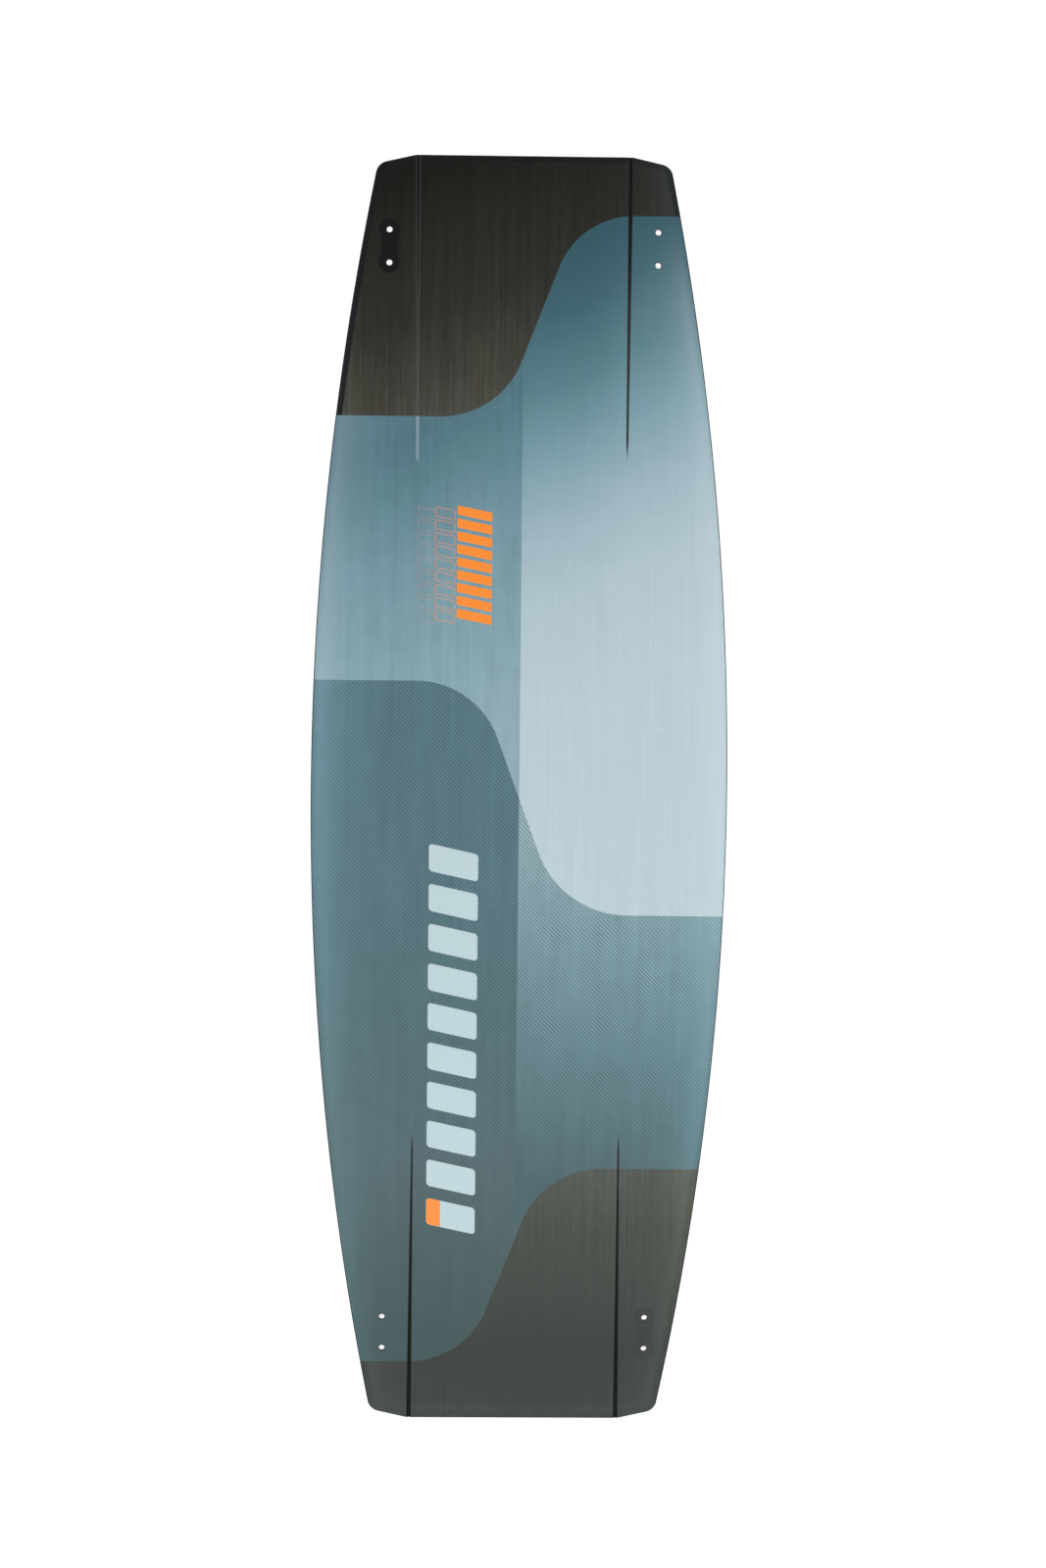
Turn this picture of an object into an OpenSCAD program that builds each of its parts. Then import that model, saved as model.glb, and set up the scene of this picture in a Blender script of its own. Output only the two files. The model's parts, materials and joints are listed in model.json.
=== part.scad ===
// Twin-tip kiteboard, bare: a wood-cored laminated plank with moulded tip grooves, bored
// for four screwed-on fins and fitted with threaded inserts for foot pads and a handle.
//
// X runs across the board and Y along it. Z points up out of the running base. The board
// lies deck down, resting on the deck edges of its two tips, and the origin is under its middle.

/* [Outline] */
// Length of the board from tip to tip
board_l = 1400; // [1360:10:1440]
// Width of the board at its middle
board_w = 455; // [445:5:475]
// Width that the two side curves would reach at the tips
tip_w = 316; // [310:2:324]
// Width of the straight edge across each tip
tip_edge_w = 236; // [232:2:240]
// Angle of the cut-back edge on both sides of the straight tip edge, in degrees
tip_cut_angle = 13; // [10:1:16]
// Radius of the four corners, seen from above
corner_r = 15; // [12:1:18]

/* [Curves] */
// Height of the lengthwise arch from the tips to the middle
rocker = 42; // [30:1:50]
// Depth of the hollow across the base at the middle of the board
concave = 3; // [1:0.5:5]

/* [Thickness] */
// Thickness at the middle of the board
mid_t = 10; // [9.5:0.25:11]
// Thickness at the rails, halfway along the board
rail_t = 6.5; // [6:0.25:8]
// Thickness at the tips
tip_t = 5.5; // [5.25:0.25:6.5]
// Thickness of the printed sheet on the base
base_sheet_t = 0.6; // [0.4:0.1:0.7]
// Thickness of the glass laminate under the base sheet
base_lam_t = 0.8; // [0.5:0.1:0.9]
// Thickness of the glass laminate under the deck sheet
deck_lam_t = 0.7; // [0.5:0.1:0.8]
// Thickness of the sheet on the deck
deck_sheet_t = 0.5; // [0.4:0.1:0.6]

/* [Grooves] */
// Distance of each groove from the centre line, at the tip
groove_x_tip = 116; // [114:1:118]
// Distance of each groove from the centre line, at its inner end
groove_x_in = 114; // [111:1:116]
// Distance of the inner end of each groove from the middle of the board
groove_start = 365; // [340:5:400]
// Width of each groove at the tip
groove_w = 4.8; // [3:0.2:5]
// Depth of each groove at the tip
groove_depth = 2; // [1:0.1:2.2]

/* [Core] */
// Width of one strip of the wood core
strip_w = 50; // [48:1:50]
// Width of the plastic rail around the core
rail_w = 6.5; // [5:0.5:8]

/* [Fins] */
// Distance between the two screw holes of a fin
fin_pitch = 36; // [32:1:40]
// Distance of the fin screw holes from the centre line
fin_x = 146.4; // [145:0.2:148]
// Distance of the middle of each fin from the middle of the board
fin_y = 600.4; // [590:0.2:604]
// Diameter of the fin screw holes
fin_hole_d = 6.5; // [6:0.1:7]

/* [Inserts] */
// Distance between the two foot positions, centre to centre
stance = 560; // [540:10:600]
// Distance across the board between the two rows of foot pad inserts
pad_row_gap = 152.4; // [148:0.1:156]
// Spacing of the foot pad inserts along a row
pad_pitch = 25.4; // [25:0.1:26]
// Distance between the two handle inserts
handle_pitch = 180; // [140:5:200]
// Diameter of the bore that stands for the thread of every insert
insert_bore_d = 6; // [5:0.1:6.4]

/* [Hidden] */

$fn = 48;

half_l = board_l / 2;
half_w = board_w / 2;

// The side curve is one arc through the middle width and the tip width
side_sag = half_w - tip_w / 2;
side_r = (half_l * half_l + side_sag * side_sag) / (2 * side_sag);
side_cx = half_w - side_r;
SIDE_STEPS = 14;
CORNER_STEPS = 5;

// The corner arc touches the cut-back tip edge and the side curve
cut_start = [tip_edge_w / 2, half_l];
cut_normal = [sin(tip_cut_angle), cos(tip_cut_angle)];
cut_along = [cos(tip_cut_angle), -sin(tip_cut_angle)];
corner_line = cut_start - corner_r * cut_normal;
corner_from_side = corner_line - [side_cx, 0];
corner_half_b = corner_from_side * cut_along;
corner_gap = pow(side_r - corner_r, 2) - corner_from_side * corner_from_side;
corner_travel = -corner_half_b + sqrt(corner_half_b * corner_half_b + corner_gap);
corner_centre = corner_line + corner_travel * cut_along;
corner_start_angle = atan2(corner_centre.y, corner_centre.x - side_cx);

// Levels through the board: 0 base face, 1 under the base sheet, 2 top of the core,
// 3 bottom of the core, 4 inner face of the deck sheet, 5 deck face
BASE_FACE = 0;
SHEET_BACK = 1;
CORE_TOP = 2;
CORE_BOTTOM = 3;
DECK_BACK = 4;
DECK_FACE = 5;
LEVEL_DROP = [0, base_sheet_t, base_sheet_t + base_lam_t];
LEVEL_RISE = [deck_lam_t + deck_sheet_t, deck_sheet_t, 0];

// Slabs reach this far past the outline before it trims them
OVERSIZE = 1.5;
GROOVE_END_W = 1.6;

// Rows of points along half of the board: some up to the groove's end and some past it
INNER_ROWS = 5;
OUTER_ROWS = 5;
outer_step = (half_l + OVERSIZE - groove_start) / OUTER_ROWS;
half_rows = [
    for (i = [0:INNER_ROWS]) groove_start * i / INNER_ROWS,
    for (i = [1:OUTER_ROWS]) groove_start + outer_step * i
];
LAST_ROW = len(half_rows) - 1;
rows = [
    for (i = [LAST_ROW:-1:1]) -half_rows[i],
    each half_rows
];

// First and last column of points under each core strip, from left to right
STRIP_COLUMNS = [[0, 1], [1, 2], [2, 6], [6, 7], [7, 8], [8, 9], [9, 13], [13, 14], [14, 15]];
LAST_COLUMN = 15;
HALF_COLUMNS = 8;
// The side rails lie between this column and the outer one
RAIL_COLUMN = 13;

// The tip rails turn the corners and meet the side rails this far from the tip edge
tip_rail_l = 30;

FIN_LOBE_R = 11.5;
FIN_WAIST_W = 18.5;
PAD_COUNT = 4;
PAD_BLOCK_W = 30;
PAD_BLOCK_MARGIN = 17;
HANDLE_BLOCK_W = 30;
BLOCK_CORNER_R = 5;
INSERT_H = 7;
INSERT_BARREL_D = 10;
INSERT_FLANGE_D = 18;
INSERT_FLANGE_T = 1.2;
INSERT_FLOOR_T = 1;

// Taller than the board on both sides, for outlines and bores that go right through
THROUGH_H = 120;

pad_row_l = (PAD_COUNT - 1) * pad_pitch;
pad_block_l = pad_row_l + 2 * PAD_BLOCK_MARGIN;
handle_block_l = handle_pitch + 2 * PAD_BLOCK_MARGIN;

fin_centres = [
    for (sx = [-1, 1]) for (sy = [-1, 1]) [sx * fin_x, sy * fin_y]
];
pad_points = [
    for (sx = [-1, 1]) for (sy = [-1, 1]) for (i = [0:PAD_COUNT - 1])
        [sx * pad_row_gap / 2, sy * stance / 2 - pad_row_l / 2 + i * pad_pitch]
];
handle_points = [
    for (sy = [-1, 1]) [0, sy * handle_pitch / 2]
];

// 1 at the middle of the board and 0 at the tips
function crown(y) = 1 - pow(y / half_l, 2);

// 0 on the centre line and 1 at the rail, halfway along
function spread(x) = pow(x / half_w, 2);

// Height of the base face, without its grooves
function base_z(x, y) = tip_t + crown(y) * (rocker + concave * spread(x));

// Thickness of the whole board
function board_t(x, y) = tip_t + crown(y) * (mid_t - tip_t - (mid_t - rail_t) * spread(x));

function deck_z(x, y) = base_z(x, y) - board_t(x, y);

// 0 at a groove's inner end and 1 at the tip
function groove_run(y) = max(0, (abs(y) - groove_start) / (half_l - groove_start));

function groove_x(y) = groove_x_in + (groove_x_tip - groove_x_in) * groove_run(y);

function groove_half_w(y) = (GROOVE_END_W + (groove_w - GROOVE_END_W) * groove_run(y)) / 2;

// Columns of points on the right half of a row: distance from the centre line, and 1
// where the column is the bottom of the groove
function half_columns(y) = [
    [0.5 * strip_w, 0],
    [1.5 * strip_w, 0],
    [groove_x(y) - groove_half_w(y), 0],
    [groove_x(y), 1],
    [groove_x(y) + groove_half_w(y), 0],
    [2.5 * strip_w, 0],
    [3.5 * strip_w, 0],
    [half_w + OVERSIZE, 0]
];

// One point of the grid, with its x mirrored on the left half
function grid_point(level, column, y) =
    let (right = column >= HALF_COLUMNS)
    let (index = right ? column - HALF_COLUMNS : HALF_COLUMNS - 1 - column)
    let (entry = half_columns(y)[index])
    let (x = right ? entry[0] : -entry[0])
    let (groove = entry[1] * groove_depth * groove_run(y))
    let (upper = base_z(x, y) - groove - LEVEL_DROP[min(level, CORE_TOP)])
    let (lower = deck_z(x, y) + LEVEL_RISE[max(level, CORE_BOTTOM) - CORE_BOTTOM])
    [x, y, level <= CORE_TOP ? upper : lower];

// A quarter of the outline, drawn in by a distance, from the middle of the side to the tip
function quarter_outline(inset) = [
    for (i = [0:SIDE_STEPS - 1])
        let (angle = corner_start_angle * i / SIDE_STEPS)
        [side_cx + (side_r - inset) * cos(angle), (side_r - inset) * sin(angle)],
    for (i = [0:CORNER_STEPS])
        let (turn = 90 - tip_cut_angle - corner_start_angle)
        let (angle = corner_start_angle + turn * i / CORNER_STEPS)
        corner_centre + (corner_r - inset) * [cos(angle), sin(angle)],
    [tip_edge_w / 2 - inset * tan(tip_cut_angle / 2), half_l - inset]
];

function outline(inset) =
    let (quarter = quarter_outline(inset))
    let (last = len(quarter) - 1)
    [
        each quarter,
        for (i = [last:-1:0]) [-quarter[i].x, quarter[i].y],
        for (i = [1:last]) [-quarter[i].x, -quarter[i].y],
        for (i = [last:-1:1]) [quarter[i].x, -quarter[i].y]
    ];

// The space between two levels, over a range of columns
module slab(top, bottom, first, last) {
    across = last - first + 1;
    count = len(rows) * across;
    points = [
        for (level = [top, bottom]) for (y = rows) for (column = [first:last])
            grid_point(level, column, y)
    ];
    quads = [
        for (r = [0:len(rows) - 2]) for (c = [0:across - 2]) r * across + c
    ];
    faces = [
        for (q = quads) [q, q + across, q + 1],
        for (q = quads) [q + 1, q + across, q + across + 1],
        for (q = quads) [count + q, count + q + 1, count + q + across],
        for (q = quads) [count + q + 1, count + q + across + 1, count + q + across],
        for (r = [0:len(rows) - 2])
            let (q = r * across)
            [q, count + q, count + q + across, q + across],
        for (r = [0:len(rows) - 2])
            let (q = r * across + across - 1)
            [q, q + across, count + q + across, count + q],
        for (c = [0:across - 2]) [c, c + 1, count + c + 1, count + c],
        for (c = [0:across - 2])
            let (q = count - across + c)
            [q, count + q, count + q + 1, q + 1]
    ];
    polyhedron(points, faces, convexity = 4);
}

module outline_prism(inset) {
    translate([0, 0, -THROUGH_H / 4])
        linear_extrude(THROUGH_H)
            polygon(outline(inset));
}

module bores(points, diameter) {
    for (p = points)
        translate([p.x, p.y, -THROUGH_H / 4])
            cylinder(d = diameter, h = THROUGH_H);
}

module fin_bores() {
    for (p = fin_centres)
        bores([p - [0, fin_pitch / 2], p + [0, fin_pitch / 2]], fin_hole_d);
}

// Upright prism with the bone shape of a fin block
module fin_block_prism(centre) {
    bores([centre - [0, fin_pitch / 2], centre + [0, fin_pitch / 2]], 2 * FIN_LOBE_R);
    translate([centre.x - FIN_WAIST_W / 2, centre.y - fin_pitch / 2, -THROUGH_H / 4])
        cube([FIN_WAIST_W, fin_pitch, THROUGH_H]);
}

// Upright prism with a rounded rectangle as its outline
module block_prism(centre, width, length) {
    corner_x = width / 2 - BLOCK_CORNER_R;
    corner_y = length / 2 - BLOCK_CORNER_R;
    for (sx = [-1, 1])
        for (sy = [-1, 1])
            bores([centre + [sx * corner_x, sy * corner_y]], 2 * BLOCK_CORNER_R);
    translate([centre.x - width / 2, centre.y - corner_y, -THROUGH_H / 4])
        cube([width, 2 * corner_y, THROUGH_H]);
    translate([centre.x - corner_x, centre.y - length / 2, -THROUGH_H / 4])
        cube([2 * corner_x, length, THROUGH_H]);
}

module pad_block_prism(sx, sy) {
    block_prism([sx * pad_row_gap / 2, sy * stance / 2], PAD_BLOCK_W, pad_block_l);
}

module handle_block_prism() {
    block_prism([0, 0], HANDLE_BLOCK_W, handle_block_l);
}

// Outer shape of an insert, from the deck face up into the core
module insert_body(p) {
    translate([p.x, p.y, deck_z(p.x, p.y)]) {
        cylinder(d = INSERT_BARREL_D, h = INSERT_H);
        translate([0, 0, INSERT_H - INSERT_FLANGE_T])
            cylinder(d = INSERT_FLANGE_D, h = INSERT_FLANGE_T);
    }
}

// A flanged threaded insert with a closed inner end
module insert(p) {
    depth = INSERT_H - INSERT_FLOOR_T;
    difference() {
        insert_body(p);
        translate([p.x, p.y, deck_z(p.x, p.y) + depth - THROUGH_H])
            cylinder(d = insert_bore_d, h = THROUGH_H);
    }
}

module skin(top, bottom) {
    difference() {
        intersection() {
            slab(top, bottom, 0, LAST_COLUMN);
            outline_prism(0);
        }
        fin_bores();
    }
}

module base_sheet() {
    color("slategray")
        skin(BASE_FACE, SHEET_BACK);
}

module base_laminate() {
    color("lightsteelblue")
        skin(SHEET_BACK, CORE_TOP);
}

module deck_laminate() {
    color("lightsteelblue")
        difference() {
            skin(CORE_BOTTOM, DECK_BACK);
            bores(concat(pad_points, handle_points), INSERT_BARREL_D);
        }
}

module deck_sheet() {
    color("darkslategray")
        difference() {
            skin(DECK_BACK, DECK_FACE);
            bores(concat(pad_points, handle_points), INSERT_BARREL_D);
        }
}

// One glued strip of the core, numbered from the left, with the pockets for the blocks
module core_strip(number) {
    ends = STRIP_COLUMNS[number - 1];
    color("burlywood")
        difference() {
            intersection() {
                slab(CORE_TOP, CORE_BOTTOM, ends[0], ends[1]);
                outline_prism(rail_w);
            }
            for (p = fin_centres)
                fin_block_prism(p);
            for (sx = [-1, 1])
                for (sy = [-1, 1])
                    pad_block_prism(sx, sy);
            handle_block_prism();
        }
}

// The band between the outline and the core, cut to the part of it inside an upright box
module rail_band(low, high, first, last) {
    color("midnightblue")
        intersection() {
            slab(CORE_TOP, CORE_BOTTOM, first, last);
            difference() {
                outline_prism(0);
                outline_prism(rail_w);
            }
            translate([low.x, low.y, -THROUGH_H / 4])
                cube([high.x - low.x, high.y - low.y, THROUGH_H]);
        }
}

module side_rail(side) {
    reach = half_l - tip_rail_l;
    first = side > 0 ? RAIL_COLUMN : 0;
    last = side > 0 ? LAST_COLUMN : LAST_COLUMN - RAIL_COLUMN;
    low_x = side > 0 ? 0 : -board_w;
    rail_band([low_x, -reach], [low_x + board_w, reach], first, last);
}

module tip_rail(side) {
    low_y = side > 0 ? half_l - tip_rail_l : -board_l;
    high_y = side > 0 ? board_l : tip_rail_l - half_l;
    rail_band([-board_w, low_y], [board_w, high_y], 0, LAST_COLUMN);
}

module fin_block(sx, sy) {
    first = sx > 0 ? 9 : 0;
    color("dimgray")
        difference() {
            intersection() {
                slab(CORE_TOP, CORE_BOTTOM, first, first + 6);
                fin_block_prism([sx * fin_x, sy * fin_y]);
            }
            fin_bores();
        }
}

module pad_block(sx, sy) {
    first = sx > 0 ? HALF_COLUMNS : 2;
    color("gray")
        difference() {
            intersection() {
                slab(CORE_TOP, CORE_BOTTOM, first, first + 5);
                pad_block_prism(sx, sy);
            }
            for (p = pad_points)
                insert_body(p);
        }
}

module handle_block() {
    color("gray")
        difference() {
            intersection() {
                slab(CORE_TOP, CORE_BOTTOM, HALF_COLUMNS - 1, HALF_COLUMNS);
                handle_block_prism();
            }
            for (p = handle_points)
                insert_body(p);
        }
}

module pad_inserts() {
    color("silver")
        for (p = pad_points)
            insert(p);
}

module handle_inserts() {
    color("silver")
        for (p = handle_points)
            insert(p);
}

base_sheet();
base_laminate();
deck_laminate();
deck_sheet();
core_strip(1);  // core_strip_1
core_strip(2);  // core_strip_2
core_strip(3);  // core_strip_3
core_strip(4);  // core_strip_4
core_strip(5);  // core_strip_5
core_strip(6);  // core_strip_6
core_strip(7);  // core_strip_7
core_strip(8);  // core_strip_8
core_strip(9);  // core_strip_9
side_rail(-1);  // rail_left
side_rail(1);  // rail_right
tip_rail(1);  // rail_tip_a
tip_rail(-1);  // rail_tip_b
fin_block(-1, 1);  // fin_block_a_left
fin_block(1, 1);  // fin_block_a_right
fin_block(-1, -1);  // fin_block_b_left
fin_block(1, -1);  // fin_block_b_right
pad_block(-1, 1);  // pad_block_a_left
pad_block(1, 1);  // pad_block_a_right
pad_block(-1, -1);  // pad_block_b_left
pad_block(1, -1);  // pad_block_b_right
handle_block();
pad_inserts();
handle_inserts();
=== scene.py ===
"""Looks for a bare twin-tip kiteboard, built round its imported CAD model.

Everything is in metres in the CAD frame: X across the board, Y along it and Z up out of the
running base. The board is a sandwich, so it is built as one. The base sheet, base laminate,
rail, deck laminate, deck sheet and inserts are finer pieces that replace their CAD nodes. The
core strips and the blocks keep their CAD shapes.
"""
import json
import math
import bmesh
import bpy
from mathutils import Euler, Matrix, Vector, geometry


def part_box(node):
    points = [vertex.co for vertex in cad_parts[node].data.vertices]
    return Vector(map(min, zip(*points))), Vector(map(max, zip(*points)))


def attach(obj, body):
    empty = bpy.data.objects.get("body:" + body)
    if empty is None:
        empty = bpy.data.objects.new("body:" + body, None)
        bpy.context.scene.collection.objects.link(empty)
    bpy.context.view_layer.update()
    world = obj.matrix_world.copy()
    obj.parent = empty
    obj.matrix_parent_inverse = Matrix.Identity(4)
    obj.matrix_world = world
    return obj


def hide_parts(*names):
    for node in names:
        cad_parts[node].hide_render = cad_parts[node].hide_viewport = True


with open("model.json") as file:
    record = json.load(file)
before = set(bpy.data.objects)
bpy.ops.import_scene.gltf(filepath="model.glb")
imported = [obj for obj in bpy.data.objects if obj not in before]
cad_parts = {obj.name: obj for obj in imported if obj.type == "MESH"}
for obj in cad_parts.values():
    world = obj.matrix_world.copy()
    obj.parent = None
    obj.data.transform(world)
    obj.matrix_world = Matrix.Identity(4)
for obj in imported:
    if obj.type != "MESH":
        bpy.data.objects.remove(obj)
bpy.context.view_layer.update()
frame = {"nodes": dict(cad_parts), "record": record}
MM = 0.001

# ---------------------------------------------------------------- sizes, as in the CAD model

TIP_WIDTH = 316 * MM
TIP_EDGE_WIDTH = 236 * MM
TIP_CUT_ANGLE = math.radians(13)
CORNER_RADIUS = 15 * MM
ROCKER = 42 * MM
CONCAVE = 3 * MM
MIDDLE_THICKNESS = 10 * MM
RAIL_THICKNESS = 6.5 * MM
TIP_THICKNESS = 5.5 * MM
BASE_SHEET = 0.6 * MM
BASE_LAMINATE = 0.8 * MM
DECK_LAMINATE = 0.7 * MM
DECK_SHEET = 0.5 * MM
GROOVE_X_TIP = 116 * MM
GROOVE_X_INNER = 114 * MM
GROOVE_START = 365 * MM
GROOVE_WIDTH_TIP = 4.8 * MM
GROOVE_WIDTH_INNER = 1.6 * MM
GROOVE_DEPTH = 2 * MM
STRIP_WIDTH = 50 * MM
RAIL_WIDTH = 6.5 * MM
TIP_RAIL_LENGTH = 30 * MM
FIN_LOBE_RADIUS = 11.5 * MM
FIN_WAIST_WIDTH = 18.5 * MM
INSERT_HEIGHT = 7 * MM
INSERT_FLOOR = 1 * MM
INSERT_FLANGE_RADIUS = 9 * MM
INSERT_FLANGE_THICKNESS = 1.2 * MM
INSERT_BARREL_RADIUS = 5 * MM

HALF_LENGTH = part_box("base_sheet")[1].y
HALF_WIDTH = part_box("base_sheet")[1].x

# The side is one arc through the middle width and the tip width
SIDE_SAG = HALF_WIDTH - TIP_WIDTH / 2
SIDE_RADIUS = (HALF_LENGTH**2 + SIDE_SAG**2) / (2 * SIDE_SAG)
SIDE_CENTRE_X = HALF_WIDTH - SIDE_RADIUS

# The corner arc touches the cut-back tip edge and the side arc
CUT_NORMAL = Vector((math.sin(TIP_CUT_ANGLE), math.cos(TIP_CUT_ANGLE)))
CUT_ALONG = Vector((math.cos(TIP_CUT_ANGLE), -math.sin(TIP_CUT_ANGLE)))
CUT_START = Vector((TIP_EDGE_WIDTH / 2, HALF_LENGTH))
CORNER_LINE = CUT_START - CORNER_RADIUS * CUT_NORMAL
CORNER_FROM_SIDE = CORNER_LINE - Vector((SIDE_CENTRE_X, 0))
CORNER_HALF_B = CORNER_FROM_SIDE.dot(CUT_ALONG)
CORNER_GAP = (SIDE_RADIUS - CORNER_RADIUS) ** 2 - CORNER_FROM_SIDE.length_squared
CORNER_CENTRE = CORNER_LINE + CUT_ALONG * (math.sqrt(CORNER_HALF_B**2 + CORNER_GAP) - CORNER_HALF_B)
CORNER_ANGLE = math.atan2(CORNER_CENTRE.y, CORNER_CENTRE.x - SIDE_CENTRE_X)

# Rounding of the outer edges
BASE_EDGE_RADIUS = 0.8 * MM
DECK_EDGE_RADIUS = 2.0 * MM
HOLE_CHAMFER = 0.35 * MM


def mounts(prefix):
    return [m for m in frame["record"]["mounts"] if m["name"].startswith(prefix)]


def mount_points(prefix):
    """Where the screws of a group of mounts go, seen from above."""
    points = set()
    for mount in mounts(prefix):
        reach_x = mount["dims"].get("spacing_x_mm", 0) * MM / 2
        reach_y = mount["dims"]["spacing_y_mm"] * MM / 2
        for sx in (-1, 1):
            for sy in (-1, 1):
                x = mount["pos_m"][0] + sx * reach_x
                y = mount["pos_m"][1] + sy * reach_y
                points.add((round(x, 5), round(y, 5)))
    return sorted(points)


FIN_HOLES = mount_points("fin_screws")
FIN_HOLE_RADIUS = mounts("fin_screws")[0]["dims"]["hole_r_mm"] * MM
FIN_HALF_PITCH = mounts("fin_screws")[0]["dims"]["spacing_y_mm"] * MM / 2
FIN_X = max(x for x, y in FIN_HOLES)
FIN_Y = max(y for x, y in FIN_HOLES) - FIN_HALF_PITCH
PAD_POINTS = mount_points("pad_inserts")
HANDLE_POINTS = mount_points("handle_screws")
PAD_X = max(x for x, y in PAD_POINTS)
PAD_Y = mounts("pad_inserts_a")[0]["pos_m"][1]
INSERT_BORE_RADIUS = mounts("pad_inserts")[0]["dims"]["hole_r_mm"] * MM


# ---------------------------------------------------------------- heights through the board

def crown(y):
    """1 at the middle of the board and 0 at the tips."""
    return 1 - (y / HALF_LENGTH) ** 2


def base_height(x, y):
    """Height of the base face, without its grooves."""
    return TIP_THICKNESS + crown(y) * (ROCKER + CONCAVE * (x / HALF_WIDTH) ** 2)


def deck_height(x, y):
    swell = MIDDLE_THICKNESS - TIP_THICKNESS
    thinning = (MIDDLE_THICKNESS - RAIL_THICKNESS) * (x / HALF_WIDTH) ** 2
    return base_height(x, y) - TIP_THICKNESS - crown(y) * (swell - thinning)


def groove_run(y):
    """0 at a groove's inner end and 1 at the tip."""
    return max(0.0, (abs(y) - GROOVE_START) / (HALF_LENGTH - GROOVE_START))


def groove_x(run):
    return GROOVE_X_INNER + (GROOVE_X_TIP - GROOVE_X_INNER) * run


def groove_half_width(run):
    return (GROOVE_WIDTH_INNER + (GROOVE_WIDTH_TIP - GROOVE_WIDTH_INNER) * run) / 2


def groove_depth(x, y):
    """Depth of the moulded grooves below the base face: a V with rounded lips."""
    run = groove_run(y)
    off = min(1.0, abs(abs(x) - groove_x(run)) / groove_half_width(run))
    return GROOVE_DEPTH * run * (1 - off) ** 1.5


def under_base(depth):
    """Height of a layer that lies a given depth under the base face."""
    def height(x, y):
        return base_height(x, y) - groove_depth(x, y) - depth
    return height


def over_deck(rise):
    """Height of a layer that lies a given rise over the deck face."""
    def height(x, y):
        return deck_height(x, y) + rise
    return height


def rounding(radius, depth):
    """How far a rounded edge is drawn in at a depth below its face."""
    up = max(0.0, radius - depth)
    return radius - math.sqrt(radius * radius - up * up)


# ---------------------------------------------------------------- outline and plan meshes

SIDE_STEPS = 44
RAIL_STEPS = 3
CORNER_STEPS = 10
GROOVE_OFFSETS = (-1.35, -1, -0.75, -0.4, -0.08, 0.08, 0.4, 0.75, 1, 1.35)
GRID_X = 12.5 * MM
GRID_Y = 14 * MM
EDGE_CLEARANCE = 4 * MM
FEATURE_CLEARANCE = 3 * MM
LIP_WIDTH = 1.6 * MM
HOLE_STEPS = 32


def tip_y(x):
    """Y of the tip at an x, on its straight middle or on its cut-back edge."""
    return HALF_LENGTH - max(0.0, x - CUT_START.x) * math.tan(TIP_CUT_ANGLE)


def tip_stations():
    """Points along a tip, from the cut-back edge to the middle, with the grooves' edges."""
    across = [GROOVE_X_TIP + offset * groove_half_width(1) for offset in GROOVE_OFFSETS]
    steps = 9
    across += [min(across) * i / steps for i in range(steps)]
    across.append(CUT_START.x)
    return [Vector((x, tip_y(x))) for x in sorted(across, reverse=True)]


def quarter_outline():
    """The outline from the middle of the right side to the middle of tip a."""
    rail_angle = math.asin((HALF_LENGTH - TIP_RAIL_LENGTH) / SIDE_RADIUS)
    angles = [rail_angle * i / SIDE_STEPS for i in range(SIDE_STEPS + 1)]
    rest_of_side = CORNER_ANGLE - rail_angle
    angles += [rail_angle + rest_of_side * i / RAIL_STEPS for i in range(1, RAIL_STEPS)]
    centre = Vector((SIDE_CENTRE_X, 0))
    points = [centre + SIDE_RADIUS * Vector((math.cos(a), math.sin(a))) for a in angles]
    turn = math.pi / 2 - TIP_CUT_ANGLE - CORNER_ANGLE
    for i in range(CORNER_STEPS + 1):
        angle = CORNER_ANGLE + turn * i / CORNER_STEPS
        points.append(CORNER_CENTRE + CORNER_RADIUS * Vector((math.cos(angle), math.sin(angle))))
    corner_end = points[-1]
    stations = tip_stations()
    points += [corner_end.lerp(stations[0], i / 3) for i in (1, 2)]
    return points + stations


def full_outline():
    quarter = quarter_outline()
    turned = [Vector((-p.x, p.y)) for p in quarter[-2::-1]]
    half = quarter + turned
    return half[:-1] + [Vector((-p.x, -p.y)) for p in half[:-1]]


def outward_normals(loop):
    """The sideways direction at each point of a loop that turns left, made a mitre long."""
    normals = []
    for before, here, after in zip(loop[-1:] + loop[:-1], loop, loop[1:] + loop[:1]):
        first = (here - before).normalized()
        second = (after - here).normalized()
        mean = (Vector((first.y, -first.x)) + Vector((second.y, -second.x))).normalized()
        normals.append(mean / mean.dot(Vector((first.y, -first.x))))
    return normals


OUTLINE = full_outline()
OUTLINE_NORMALS = outward_normals(OUTLINE)


def groove_lines():
    """The long lines that carry the shape of the four grooves, seen from above."""
    lines = []
    steps = 20
    for sx in (-1, 1):
        for sy in (-1, 1):
            for offset in GROOVE_OFFSETS:
                line = []
                for i in range(steps + 1):
                    run = i / steps
                    x = groove_x(run) + offset * groove_half_width(run)
                    y = GROOVE_START + (HALF_LENGTH - GROOVE_START) * run
                    y = min(y, tip_y(x))
                    line.append(Vector((sx * x, sy * y)))
                lines.append(line)
    return lines


def edge_gap(x, y):
    """Distance from a point inside the board to its outline, less exact near the corners."""
    side = SIDE_RADIUS - math.hypot(abs(x) - SIDE_CENTRE_X, y)
    cut = (CUT_START - Vector((abs(x), abs(y)))).dot(CUT_NORMAL)
    return min(side, HALF_LENGTH - abs(y), cut)


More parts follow.
